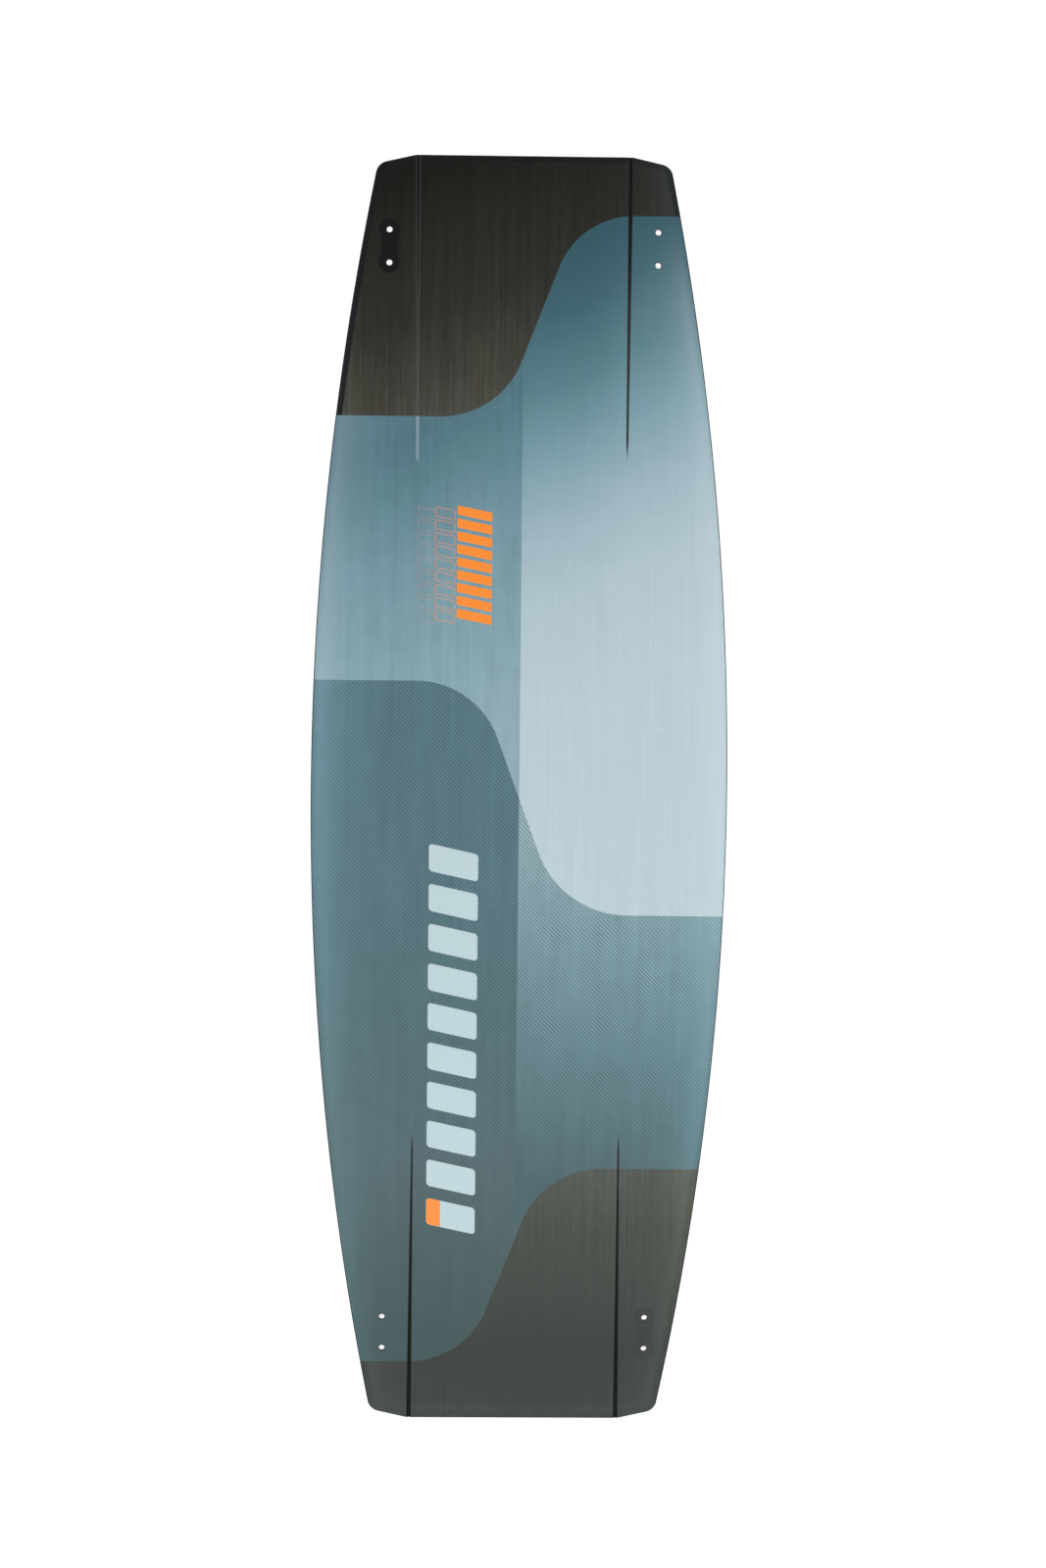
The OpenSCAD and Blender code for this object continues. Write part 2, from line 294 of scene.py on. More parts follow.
def grid_points(holes, grooves):
    """Points spread over the board, clear of its outline, holes and grooves."""
    across = round(HALF_WIDTH / GRID_X)
    along = round(HALF_LENGTH / GRID_Y)
    points = []
    for i in range(-across, across + 1):
        for j in range(-along, along + 1):
            x = i * GRID_X
            y = j * GRID_Y
            run = groove_run(y)
            off_groove = abs(abs(x) - groove_x(run)) - groove_half_width(run)
            if grooves and run > 0 and off_groove < FEATURE_CLEARANCE:
                continue
            if any(math.hypot(x - hx, y - hy) < r + FEATURE_CLEARANCE for hx, hy, r in holes):
                continue
            if edge_gap(x, y) > EDGE_CLEARANCE:
                points.append(Vector((x, y)))
    return points


def hole_loop(x, y, radius):
    turns = [2 * math.pi * i / HOLE_STEPS for i in range(HOLE_STEPS)]
    return [Vector((x + radius * math.cos(t), y + radius * math.sin(t))) for t in turns]


def plan_mesh(holes, grooves):
    """The board seen from above, as points, triangles, the outer loop and the hole loops.

    A further line just inside the outline keeps the face level right up to its rounded edge.
    """
    points = list(OUTLINE)
    loops = [list(range(len(OUTLINE)))]
    for hx, hy, radius in holes:
        loops.append(list(range(len(points), len(points) + HOLE_STEPS)))
        points += hole_loop(hx, hy, radius)
    lip = list(range(len(points), len(points) + len(OUTLINE)))
    points += [point - normal * LIP_WIDTH for point, normal in zip(OUTLINE, OUTLINE_NORMALS)]
    edges = [pair for loop in loops + [lip] for pair in zip(loop, loop[1:] + loop[:1])]
    for line in groove_lines() if grooves else []:
        chain = list(range(len(points), len(points) + len(line)))
        points += line
        edges += list(zip(chain, chain[1:]))
    points += grid_points(holes, grooves)
    scaled = [p / MM for p in points]
    merged, _, triangles, origins, _, _ = geometry.delaunay_2d_cdt(scaled, edges, [], 1, 0.001)
    new_index = {old: new for new, olds in enumerate(origins) for old in olds}
    flat = [p * MM for p in merged]
    loops = [[new_index[i] for i in loop] for loop in loops]
    rings = [set(loop) for loop in loops[1:]]
    kept = []
    for triangle in triangles:
        if not any(ring.issuperset(triangle) for ring in rings):
            a, b, c = (flat[i] for i in triangle)
            turns_left = (b - a).cross(c - a) > 0
            kept.append(tuple(triangle) if turns_left else tuple(reversed(triangle)))
    return flat, kept, loops


# ---------------------------------------------------------------- meshes

# Edges that turn by less than this are shaded as round
ROUND_BELOW = math.radians(40)


def add_piece(name, points, faces, node, material):
    """A mesh piece that replaces a CAD node and rides on the board."""
    mesh = bpy.data.meshes.new(name)
    mesh.from_pydata([tuple(p) for p in points], [], faces)
    mesh.validate()
    work = bmesh.new()
    work.from_mesh(mesh)
    bmesh.ops.recalc_face_normals(work, faces=work.faces)
    work.to_mesh(mesh)
    work.free()
    mesh.shade_smooth()
    mesh.set_sharp_from_angle(angle=ROUND_BELOW)
    piece = bpy.data.objects.new(name, mesh)
    bpy.context.scene.collection.objects.link(piece)
    mesh.materials.append(material)
    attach(piece, "root")
    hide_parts(node)
    return piece


def plate(name, plan, holes, upper, lower, outer_profile, hole_profile, material):
    """A sheet of the sandwich between two heights, with a shaped edge and shaped holes.

    Each profile lists (inset, share of the way down) from the upper face to the lower one.
    """
    flat, triangles, loops = plan
    normals = outward_normals([flat[i] for i in loops[0]])
    outward = dict(zip(loops[0], normals))
    for loop, (hx, hy, _) in zip(loops[1:], holes):
        for i in loop:
            outward[i] = (Vector((hx, hy)) - flat[i]).normalized()
    profile_of = {i: outer_profile for i in loops[0]}
    for loop in loops[1:]:
        profile_of.update({i: hole_profile for i in loop})

    def placed(i, step):
        if i not in outward:
            spot = flat[i]
            share = step
        else:
            inset, share = profile_of[i][step]
            spot = flat[i] - outward[i] * inset
        top = upper(spot.x, spot.y)
        bottom = lower(spot.x, spot.y)
        return (spot.x, spot.y, top + (bottom - top) * abs(share))

    points = [placed(i, 0) for i in range(len(flat))]
    below = len(points)
    points += [placed(i, -1) for i in range(len(flat))]
    faces = list(triangles)
    faces += [tuple(below + i for i in reversed(t)) for t in triangles]
    for loop in loops:
        profile = profile_of[loop[0]]
        rings = [list(loop)]
        for step in range(1, len(profile) - 1):
            rings.append(list(range(len(points), len(points) + len(loop))))
            points += [placed(i, step) for i in loop]
        rings.append([below + i for i in loop])
        for ring, following in zip(rings, rings[1:]):
            for k in range(len(loop)):
                n = (k + 1) % len(loop)
                faces.append((ring[k], following[k], following[n], ring[n]))
    return add_piece(name, points, faces, name, material)


def rail(name, indices):
    """A stretch of the rail, swept along the outline with a rounded lower edge."""
    laminate_bottom = DECK_SHEET + DECK_LAMINATE
    top_of = under_base(BASE_SHEET + BASE_LAMINATE)
    bottom_of = over_deck(laminate_bottom)
    lower_edge = rounding(DECK_EDGE_RADIUS, laminate_bottom)
    section = [(RAIL_WIDTH, 0), (0, 0), (0, 0.35), (0, 0.8), (lower_edge, 1), (RAIL_WIDTH, 1)]
    points = []
    for i in indices:
        for inset, share in section:
            spot = OUTLINE[i] - OUTLINE_NORMALS[i] * inset
            top = top_of(spot.x, spot.y)
            bottom = bottom_of(spot.x, spot.y)
            points.append((spot.x, spot.y, top + (bottom - top) * share))
    sides = len(section)
    faces = []
    for k in range(len(indices) - 1):
        for s in range(sides):
            n = (s + 1) % sides
            faces.append((k * sides + s, k * sides + n, (k + 1) * sides + n, (k + 1) * sides + s))
    faces.append(tuple(range(sides)))
    last = (len(indices) - 1) * sides
    faces.append(tuple(range(last + sides - 1, last - 1, -1)))
    return add_piece(name, points, faces, name, MATERIALS["rail_plastic"])


def turned_insert(x, y):
    """A flanged threaded insert as a turned shape: rings of (radius, height over the deck)."""
    depth = INSERT_HEIGHT - INSERT_FLOOR
    bore = INSERT_BORE_RADIUS
    pitch = 1 * MM
    thread = 0.3 * MM
    rings = [(0, depth)]
    turns = int(depth / pitch) - 1
    for i in range(turns, 0, -1):
        rings += [(bore, i * pitch + pitch / 2), (bore - thread, i * pitch)]
    barrel = INSERT_BARREL_RADIUS
    flange = INSERT_FLANGE_RADIUS
    flange_z = INSERT_HEIGHT - INSERT_FLANGE_THICKNESS
    rings += [(bore, pitch / 2), (bore + 0.5 * MM, 0.05 * MM), (barrel - 0.3 * MM, 0.05 * MM)]
    rings += [(barrel, 0.3 * MM), (barrel, flange_z), (flange, flange_z)]
    rings += [(flange, INSERT_HEIGHT), (0, INSERT_HEIGHT)]
    base = deck_height(x, y)
    points = []
    faces = []
    starts = []
    for radius, height in rings:
        starts.append(len(points))
        count = HOLE_STEPS if radius else 1
        for i in range(count):
            turn = 2 * math.pi * i / HOLE_STEPS
            points.append((x + radius * math.cos(turn), y + radius * math.sin(turn), base + height))
    for k in range(len(rings) - 1):
        low = starts[k]
        high = starts[k + 1]
        for i in range(HOLE_STEPS):
            n = (i + 1) % HOLE_STEPS
            if not rings[k][0]:
                faces.append((low, high + n, high + i))
            elif not rings[k + 1][0]:
                faces.append((low + i, low + n, high))
            else:
                faces.append((low + i, low + n, high + n, high + i))
    return points, faces


def inserts(name, places, material):
    points = []
    faces = []
    for x, y in places:
        start = len(points)
        more_points, more_faces = turned_insert(x, y)
        points += more_points
        faces += [tuple(start + i for i in face) for face in more_faces]
    return add_piece(name, points, faces, name, material)


# ---------------------------------------------------------------- shader fields

# Places of the sockets of a Mix node that mixes colours
MIX_FACTOR, MIX_A, MIX_B, MIX_RESULT = 0, 6, 7, 2


def feed(tree, socket, value):
    if isinstance(value, Field):
        tree.links.new(value.socket, socket)
    else:
        socket.default_value = value


class Field:
    """A number or a colour that varies over a surface: one output of a shader node."""

    def __init__(self, tree, socket):
        self.tree = tree
        self.socket = socket

    def math(self, operation, *values):
        node = self.tree.nodes.new("ShaderNodeMath")
        node.operation = operation
        for socket, value in zip(node.inputs, (self, *values)):
            feed(self.tree, socket, value)
        return Field(self.tree, node.outputs[0])

    def __add__(self, other):
        return self.math("ADD", other)

    def __sub__(self, other):
        return self.math("SUBTRACT", other)

    def __mul__(self, other):
        return self.math("MULTIPLY", other)

    def __truediv__(self, other):
        return self.math("DIVIDE", other)

    def __abs__(self):
        return self.math("ABSOLUTE")

    def lowest(self, other):
        return self.math("MINIMUM", other)

    def highest(self, other):
        return self.math("MAXIMUM", other)

    def within(self, low, high):
        return self.highest(low).lowest(high)

    def root(self):
        return self.math("SQRT")

    def sine(self, period):
        return (self * (2 * math.pi / period)).math("SINE")

    def floor(self):
        return self.math("FLOOR")

    def inverse(self):
        return self * -1 + 1

    def wrapped(self, period):
        """The field folded into one period, measured from the middle of that period."""
        return self.math("FLOORED_MODULO", period) - period / 2

    def passage(self, start, end, kind="SMOOTHSTEP"):
        """0 where the field is before start, 1 where it is past end."""
        node = self.tree.nodes.new("ShaderNodeMapRange")
        node.interpolation_type = kind
        feed(self.tree, node.inputs["Value"], self)
        node.inputs["From Min"].default_value = start
        node.inputs["From Max"].default_value = end
        return Field(self.tree, node.outputs[0])

    def gradient(self, stops):
        """A colour for each value of the field, between stops of (value, colour)."""
        first = stops[0][0]
        last = stops[-1][0]
        node = self.tree.nodes.new("ShaderNodeValToRGB")
        ramp = node.color_ramp
        for place, colour in stops[1:-1]:
            ramp.elements.new((place - first) / (last - first)).color = colour
        ramp.elements[0].color = stops[0][1]
        ramp.elements[-1].color = stops[-1][1]
        feed(self.tree, node.inputs[0], self.passage(first, last, "LINEAR"))
        return Field(self.tree, node.outputs[0])

    def mixed(self, other, factor, blend="MIX"):
        """This colour where the factor is 0 and the other one where it is 1."""
        node = self.tree.nodes.new("ShaderNodeMix")
        node.data_type = "RGBA"
        node.blend_type = blend
        feed(self.tree, node.inputs[MIX_FACTOR], factor)
        feed(self.tree, node.inputs[MIX_A], self)
        feed(self.tree, node.inputs[MIX_B], other)
        return Field(self.tree, node.outputs[MIX_RESULT])

    def shaded(self, tone):
        """This colour made darker or lighter by a field around 1."""
        node = self.tree.nodes.new("ShaderNodeVectorMath")
        node.operation = "SCALE"
        feed(self.tree, node.inputs[0], self)
        feed(self.tree, node.inputs["Scale"], tone)
        return Field(self.tree, node.outputs[0])


def length(a, b):
    return (a * a + b * b).root()


def board_place(tree):
    """X, Y and Z on the board, in metres."""
    coordinates = tree.nodes.new("ShaderNodeTexCoord")
    split = tree.nodes.new("ShaderNodeSeparateXYZ")
    tree.links.new(coordinates.outputs["Object"], split.inputs[0])
    return [Field(tree, socket) for socket in split.outputs]


def noise(x, y, z, size_x, size_y, size_z, detail=2.0, roughness=0.5):
    """Smooth noise from 0 to 1 whose blots have the given sizes."""
    tree = x.tree
    join = tree.nodes.new("ShaderNodeCombineXYZ")
    for socket, value, size in zip(join.inputs, (x, y, z), (size_x, size_y, size_z)):
        feed(tree, socket, value / size)
    node = tree.nodes.new("ShaderNodeTexNoise")
    node.inputs["Scale"].default_value = 1
    node.inputs["Detail"].default_value = detail
    node.inputs["Roughness"].default_value = roughness
    tree.links.new(join.outputs[0], node.inputs["Vector"])
    return Field(tree, node.outputs[0])


def picked(red, green, blue):
    """The linear colour for the three numbers, up to 255, that a colour picker shows."""
    def linear(share):
        return share / 12.92 if share <= 0.04045 else ((share + 0.055) / 1.055) ** 2.4
    return (linear(red / 255), linear(green / 255), linear(blue / 255), 1.0)


def finish_surface(name, make, **constants):
    """A material whose make(x, y, z) gives its colour, roughness, bump height and bump depth."""
    material = bpy.data.materials.new(name)
    material.use_nodes = True
    tree = material.node_tree
    shader = tree.nodes["Principled BSDF"]
    for socket, value in constants.items():
        shader.inputs[socket.replace("_", " ")].default_value = value
    colour, roughness, height, depth = make(*board_place(tree))
    feed(tree, shader.inputs["Base Color"], colour)
    feed(tree, shader.inputs["Roughness"], roughness)
    bump = tree.nodes.new("ShaderNodeBump")
    bump.inputs["Distance"].default_value = depth
    feed(tree, bump.inputs["Height"], height)
    tree.links.new(bump.outputs[0], shader.inputs["Normal"])
    return material


# ---------------------------------------------------------------- patterns shared by materials

# Rise of the slanted fades across the board
SLANT = 0.3
TWILL_PITCH = 4.65 * MM
# Half the width over which a printed edge changes colour
CRISP = 0.3 * MM
OUTER_STRIP_START = 3.5 * STRIP_WIDTH

# S-curves: Y at the left and right ends, middle X, angle in degrees, left and right bend radius
MIDDLE_CURVE = (129 * MM, -127 * MM, 0, 69.8, 95 * MM, 105 * MM)
TIP_A_CURVE = (416 * MM, 636 * MM, 17.7 * MM, 68.7, 94 * MM, 88 * MM)
TIP_B_CURVE = (-634 * MM, -411 * MM, -11 * MM, 69.1, 93 * MM, 95 * MM)
DECK_CURVE_A = (120 * MM, 330 * MM, 0, 69, 90 * MM, 90 * MM)
DECK_CURVE_B = (-330 * MM, -120 * MM, 0, 69, 90 * MM, 90 * MM)

# Columns of bars: middle X and Y, half width, half height, pitch, count, slant, corner radius
PALE_SLANT = 0.22
PALE_BARS = (-71 * MM, -268 * MM, 27 * MM, 15 * MM, 44 * MM, 10, PALE_SLANT, 4 * MM)
ORANGE_BARS = (-51 * MM, 255 * MM, 19 * MM, 5 * MM, 14 * MM, 9, 0.2, 1.5 * MM)
NEAR_ECHO = (-83 * MM, 255 * MM, 10.5 * MM, 5 * MM, 14 * MM, 9, 0.2, 1.5 * MM)
FAR_ECHO = (-103.5 * MM, 255 * MM, 9 * MM, 5 * MM, 14 * MM, 9, 0.2, 1.5 * MM)
DECK_BARS = (0, 0, 60 * MM, 2.5 * MM, 12 * MM, 3, 0.25, 1.5 * MM)


def s_curve(x, left, right, middle, angle, left_radius, right_radius):
    """Y of an S-shaped edge across the board: level, arc, straight, arc, level."""
    angle = math.radians(angle)
    tangent = math.tan(angle)
    left_arc = left_radius * math.sin(angle)
    right_arc = right_radius * math.sin(angle)
    left_drop = left_radius * (1 - math.cos(angle))
    right_drop = right_radius * (1 - math.cos(angle))
    fall = abs(left - right)
    run = (fall - left_drop - right_drop) / tangent
    along = x - (middle - left_arc - (fall / 2 - left_drop) / tangent)
    on_left = along.within(0, left_arc)
    on_line = (along - left_arc).within(0, run)
    to_right = (along - left_arc - run).within(0, right_arc) * -1 + right_arc
    left_part = (on_left * on_left * -1 + left_radius**2).root() * -1 + left_radius
    right_part = (to_right * to_right * -1 + right_radius**2).root() - (right_radius - right_drop)
    drop = left_part + on_line * tangent + right_part
    return drop * (1 if right > left else -1) + left


def side_distance(x, y):
    """Distance in from the nearer of the two side curves."""
    return length(abs(x) - SIDE_CENTRE_X, y) * -1 + SIDE_RADIUS


def rail_distance(x, y):
    """Distance in from the outline of the board."""
    side = side_distance(x, y)
    tip = abs(y) * -1 + HALF_LENGTH
    cut_reach = CUT_START.dot(CUT_NORMAL)
    cut = (abs(x) * CUT_NORMAL.x + abs(y) * CUT_NORMAL.y) * -1 + cut_reach
    node = side.math("SMOOTH_MIN", cut, 7 * MM)
    return node.lowest(tip)


def fin_distance(x, y):
    """Distance from the nearest fin screw hole's middle."""
    return length(abs(x) - FIN_X, abs(abs(y) - FIN_Y) - FIN_HALF_PITCH)


def fin_block_edge(x, y):
    """Distance outside the bone-shaped fin blocks, negative inside them."""
    lobe = fin_distance(x, y) - FIN_LOBE_RADIUS
    waist_x = abs(abs(x) - FIN_X) - FIN_WAIST_WIDTH / 2
    waist_y = abs(abs(y) - FIN_Y) - FIN_HALF_PITCH
    return lobe.lowest(waist_x.highest(waist_y))


def groove_place(x, y):
    """Distance outside a groove's edge, negative inside it, and the share of its length run."""
    run = (abs(y) - GROOVE_START) / (HALF_LENGTH - GROOVE_START)
    run = run.within(0, 1)
    centre = run * (GROOVE_X_TIP - GROOVE_X_INNER) + GROOVE_X_INNER
    half = run * ((GROOVE_WIDTH_TIP - GROOVE_WIDTH_INNER) / 2) + GROOVE_WIDTH_INNER / 2
    return abs(abs(x) - centre) - half, run


def slanted_bars(x, y, centre_x, centre_y, half_w, half_h, pitch, count, slant, corner):
    """Distance outside a column of slanted, rounded bars, negative inside them."""
    across = x - centre_x
    along = y - centre_y + across * slant
    start = count * pitch / 2
    off_end = abs(along) - (start - (pitch - 2 * half_h) / 2)
    folded = (along + start).wrapped(pitch)
    gap_x = (abs(across) - (half_w - corner)).highest(0)
    gap_y = (abs(folded) - (half_h - corner)).highest(0)
    return (length(gap_x, gap_y) - corner).highest(off_end)


def twill(x, y):
    """Crests of a beaded diagonal weave, from 0 to 1."""
    line = (x + y).sine(TWILL_PITCH) * 0.5 + 0.5
    bead = (x - y).sine(TWILL_PITCH / 2) * 0.3 + 0.7
    return line * bead


def wood_grain(x, y):
    """Lengthwise grain, from 0 to 1, which starts anew in each strip of the core."""
    strip = ((x + STRIP_WIDTH / 2) / STRIP_WIDTH).floor()
    bands = noise(x, y, strip, 5 * MM, 400 * MM, 0.21, 3, 0.6)
    fibres = noise(x, y, strip, 0.9 * MM, 45 * MM, 0.13, 2, 0.6)
    pores = noise(x, y, strip, 0.6 * MM, 12 * MM, 0.37, 1, 0.5).passage(0.62, 0.74)
    joint = abs((x + STRIP_WIDTH / 2).wrapped(STRIP_WIDTH)) * -1 + STRIP_WIDTH / 2
    seam = joint.passage(1.1 * MM, 0.2 * MM)
    return bands * 0.45 + fibres * 0.55, pores, seam, strip


# ---------------------------------------------------------------- materials

# Fades of the print and the seen core along the board, as (place, colour)
UPPER_LEFT = [
    (90 * MM, picked(139, 165, 175)), (162 * MM, picked(133, 162, 171)),
    (242 * MM, picked(122, 153, 162)), (322 * MM, picked(111, 144, 155)),
    (402 * MM, picked(89, 125, 134)), (450 * MM, picked(80, 115, 126)),
]
UPPER_RIGHT = [
    (-120 * MM, picked(185, 201, 207)), (80 * MM, picked(184, 200, 205)),
    (198 * MM, picked(176, 194, 200)), (278 * MM, picked(160, 181, 191)),
    (358 * MM, picked(126, 159, 169)), (438 * MM, picked(90, 127, 136)),
    (518 * MM, picked(63, 100, 111)), (585 * MM, picked(52, 88, 99)),
]
LOWER_LEFT = [
    (-600 * MM, picked(43, 68, 68)), (-520 * MM, picked(55, 78, 79)),
    (-400 * MM, picked(73, 95, 100)), (-220 * MM, picked(77, 105, 111)),
    (-80 * MM, picked(82, 111, 120)), (130 * MM, picked(82, 112, 122)),
]
LOWER_RIGHT = [
    (-430 * MM, picked(64, 89, 94)), (-360 * MM, picked(78, 106, 112)),
    (-280 * MM, picked(93, 122, 129)), (-160 * MM, picked(116, 144, 151)),
    (-40 * MM, picked(138, 161, 168)),
]
UPPER_WOOD = [
    (430 * MM, picked(72, 73, 65)), (480 * MM, picked(62, 62, 54)),
    (560 * MM, picked(42, 43, 36)), (640 * MM, picked(33, 33, 26)),
    (720 * MM, picked(15, 18, 11)),
]
LOWER_WOOD = [
    (-700 * MM, picked(43, 50, 41)), (-680 * MM, picked(27, 34, 24)),
    (-620 * MM, picked(24, 29, 18)), (-480 * MM, picked(56, 59, 49)),
    (-400 * MM, picked(76, 81, 73)),
]
RAIL_DARK = picked(5, 8, 13)
BLOCK_DARK = picked(5, 7, 8)
WARM_TINT = (1.0, 0.86, 0.78, 1.0)
# Painted shade in the grooves
GROOVE_SHADE = picked(3, 5, 5)
# Colours of the painted sheen along the edges and of the painted highlight on a groove
SHEEN_LIGHT = picked(216, 230, 236)
SHEEN_TEAL = picked(176, 222, 234)
SHEEN_WARM = picked(176, 188, 169)
PALE_MARK = picked(188, 206, 209)
ORANGE_MARK = picked(252, 140, 48)


def ground_fades(x, y, right, is_upper):
    """The painted fades: each quarter of the base has its own."""
    slanted = y - x * SLANT
    outer_left = slanted + x.passage(-60 * MM, -125 * MM) * 25 * MM
    outer_right = slanted - x.passage(60 * MM, 125 * MM) * 21 * MM
    upper = outer_left.gradient(UPPER_LEFT).mixed(outer_right.gradient(UPPER_RIGHT), right)
    lower_left = y.gradient(LOWER_LEFT).shaded(x.passage(-140 * MM, -10 * MM) * 0.05 + 0.99)
    lower_right = y.gradient(LOWER_RIGHT).shaded(x.passage(10 * MM, 70 * MM) * 0.05 + 1)
    return lower_left.mixed(lower_right, right).mixed(upper, is_upper)


def printed_marks(ground, x, y):
    """The ground with its marks: a column of pale bars with one orange corner, and a stack of
    orange bars with two outlined echoes."""
    pale = slanted_bars(x, y, *PALE_BARS).passage(CRISP, -CRISP)
    ground = ground.mixed(PALE_MARK, pale)
    accent = (y + x * PALE_SLANT).passage(-462 * MM, -463 * MM) * x.passage(-82 * MM, -83 * MM)
    ground = ground.mixed(ORANGE_MARK, pale * accent)
    ground = ground.mixed(ORANGE_MARK, slanted_bars(x, y, *ORANGE_BARS).passage(CRISP, -CRISP))
    for echo, line, strength in ((NEAR_ECHO, 0.4 * MM, 0.6), (FAR_ECHO, 0.3 * MM, 0.3)):
        outline = abs(slanted_bars(x, y, *echo)) - line
        ground = ground.mixed(ORANGE_MARK, outline.passage(CRISP, -CRISP) * strength)
    return ground


def seen_inside(x, y, tip_a, gap, flaws):
    """The core, fin blocks and rail that show through the clear tips, and the core's grain."""
    grain, pores, seam, strip = wood_grain(x, y)
    strip_tone = noise(strip, strip, strip, 1.7, 2.3, 3.1, 0)
    outer_strip = abs(x).passage(OUTER_STRIP_START - CRISP, OUTER_STRIP_START + CRISP)
    tone = (grain - 0.5) * (tip_a + 1.3) + (strip_tone - 0.5) * 0.3 + outer_strip * 0.16
    tone = tone - pores * 0.2 - seam * 0.22 + flaws + 1
    wood = y.gradient(LOWER_WOOD).mixed((y - x * SLANT).gradient(UPPER_WOOD), tip_a).shaded(tone)
    warmth = noise(x, y, strip, 9 * MM, 500 * MM, 0.5, 1).passage(0.42, 0.62)
    wood = wood.mixed(WARM_TINT, warmth * (outer_strip * 0.3 + 0.6), "MULTIPLY")
    block = fin_block_edge(x, y).passage(CRISP, -CRISP)
    wood = wood.mixed(BLOCK_DARK, block * (tip_a * 0.25 + 0.7))
    rail_band = gap.passage(RAIL_WIDTH + CRISP, RAIL_WIDTH - CRISP)
    wood = wood.mixed(RAIL_DARK, rail_band * (tip_a * 0.83 + 0.12))
    rail_joint = abs(gap - RAIL_WIDTH).passage(0.8 * MM, 0.3 * MM)
    return wood.mixed(RAIL_DARK, rail_joint * 0.25), grain


def painted_edge_sheen(colour, x, y, gap, right, tip_a, is_upper, on_wood):
    """Painted sheen: lighter bands along the two sides and a lighter rim round tip b."""
    side = side_distance(x, y)
    # Painted sheen: a lighter band that fades in from each side edge
    sheen_band = (side / (-24 * MM)).math("EXPONENT") * side.passage(-4 * MM, 11 * MM)
    left_share = (abs(y - 130 * MM) / (-850 * MM) + 1).highest(0)
    right_share = y.passage(660 * MM, 500 * MM) * (y.passage(-250 * MM, -50 * MM) * 0.35 + 0.65)
    on_paint = left_share * right.inverse() + right_share * right
    wood_share = tip_a * (right * 0.14 - 0.22) + 0.22
    sheen_band = sheen_band * (on_paint * on_wood.inverse() + wood_share * on_wood)
    # Colour of the painted sheen: teal below the middle curve, warmer on the seen wood there
    tint = is_upper.gradient([(0, SHEEN_TEAL), (1, SHEEN_LIGHT)])
    tint = tint.mixed(SHEEN_WARM, on_wood * is_upper.inverse())
    # Painted sheen on a narrow rim along the edge round tip b
    rim_sheen = (gap / (-6 * MM)).math("EXPONENT") * y.passage(-380 * MM, -500 * MM)
    return colour.mixed(tint, sheen_band * 0.27).mixed(tint, rim_sheen * (on_wood * -0.06 + 0.1))


def painted_groove_shade_and_glint(colour, x, y, glinting_groove, on_wood):
    """Painted shade in the grooves; tip a's left groove gets a painted highlight instead."""
    outside, run = groove_place(x, y)
    # Painted shade filling the grooves, all but the left one of tip a
    filled = outside.passage(0.5 * MM, -0.1 * MM) * run.passage(0, 0.08)
    colour = colour.mixed(GROOVE_SHADE, filled * glinting_groove.inverse())
    # Painted highlight over the left groove of tip a and its lips
    lips = outside.passage(1.0 * MM, 0.3 * MM) * run.passage(0, 0.02)
    colour = colour.mixed(SHEEN_LIGHT, lips * glinting_groove * (on_wood * -0.18 + 0.2))
    # Painted shade down the middle of that groove, towards the tip
    core = (outside + 0.9 * MM).passage(0.1 * MM, -0.3 * MM) * run.passage(0.25, 0.4)
    return colour.mixed(GROOVE_SHADE, core * glinting_groove * 0.8)


